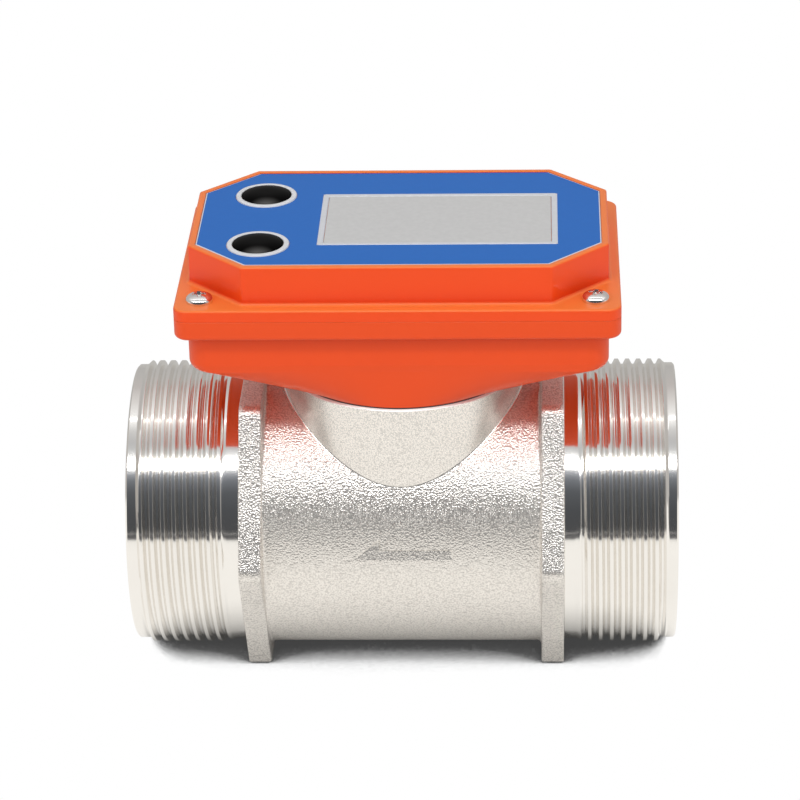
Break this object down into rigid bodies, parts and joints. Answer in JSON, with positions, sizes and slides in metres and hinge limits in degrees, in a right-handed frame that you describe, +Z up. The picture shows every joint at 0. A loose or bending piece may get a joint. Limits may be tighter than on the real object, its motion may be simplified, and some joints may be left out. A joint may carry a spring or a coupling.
{
  "type": "turbine flow meter",
  "caption": "In-line turbine flow meter: threaded metal pipe body with a spinning vaned rotor inside and a moulded battery display head with two push buttons.",
  "frame": {"origin": "middle of the underside: the point between the two hexagons' lower flats, below the middle of the pipe", "axes": "+X along the pipe towards the inlet thread, so liquid flows towards -X; -Y is the side that the display faces when read; +Z up through the display head"},
  "size_m": [0.113, 0.0684, 0.0961],
  "materials": {
    "cast_steel": "cast and blasted stainless steel with bright turned threads",
    "straightener_plastic": "moulded, dark grey, satin",
    "spring_steel": "ground spring steel",
    "shaft_steel": "ground, polished",
    "rotor_plastic": "moulded, natural white, satin",
    "bush_plastic": "turned carbon-filled plastic",
    "washer_steel": "lapped",
    "magnet": "nickel plated",
    "sensor_case": "moulded black case",
    "lead_wire": "tinned copper",
    "seal_rubber": "black nitrile",
    "gasket_rubber": "black silicone",
    "orange_plastic": "moulded, fine satin",
    "screw_steel": "bright plated",
    "label_film": "printed film, satin",
    "bezel_plastic": "light silver-grey",
    "window_film": "clear, satin",
    "lcd_glass": "reflective display, blank",
    "lcd_frame": "moulded, off-white",
    "button_ring": "bright",
    "button_plastic": "polished black",
    "switch_body": "moulded, black",
    "switch_plunger": "moulded, ivory",
    "board": "glass-epoxy with green solder mask",
    "holder_plastic": "moulded, black",
    "cell": "sleeved can with bare ends",
    "contact_plate": "nickel-plated spring steel",
    "battery_wire": "insulated wire"
  },
  "bodies": {
    "meter": {"meter_body": "cast_steel", "inlet_flow_straightener": "straightener_plastic", "outlet_flow_straightener": "straightener_plastic", "inlet_retaining_ring": "spring_steel", "outlet_retaining_ring": "spring_steel", "rotor_shaft": "shaft_steel", "thrust_washers": "washer_steel", "pickup_sensor": "sensor_case", "pickup_leads": "lead_wire", "neck_seal": "seal_rubber", "neck_screws": "screw_steel", "lower_housing": "orange_plastic", "housing_gasket": "gasket_rubber", "upper_cover": "orange_plastic", "cover_screws": "screw_steel", "label_plate": "label_film", "display_bezel": "bezel_plastic", "display_window": "window_film", "lcd_panel": "lcd_glass", "lcd_holder": "lcd_frame", "button_bezels": "button_ring", "tact_switches": "switch_body", "circuit_board": "board", "board_screws": "screw_steel", "battery_holder": "holder_plastic", "holder_screws": "screw_steel", "battery_cells": "cell", "battery_contacts": "contact_plate", "battery_leads": "battery_wire"},
    "rotor": {"turbine_rotor": "rotor_plastic", "rotor_bush": "bush_plastic", "rotor_magnets": "magnet"},
    "mode_button": {"mode_button": "button_plastic", "mode_switch_plunger": "switch_plunger"},
    "reset_button": {"reset_button": "button_plastic", "reset_switch_plunger": "switch_plunger"}
  },
  "joints": [
    {"name": "rotor_spin", "type": "hinge", "parent": "meter", "child": "rotor", "pos_m": [0, 0, 0.03], "axis": [1, 0, 0], "continuous": true},
    {"name": "mode_button_press", "type": "slide", "parent": "meter", "child": "mode_button", "axis": [0, 0, -1], "range_m": [0, 0.0005], "stiffness_N_per_m": 400},
    {"name": "reset_button_press", "type": "slide", "parent": "meter", "child": "reset_button", "axis": [0, 0, -1], "range_m": [0, 0.0005], "stiffness_N_per_m": 400}
  ]
}
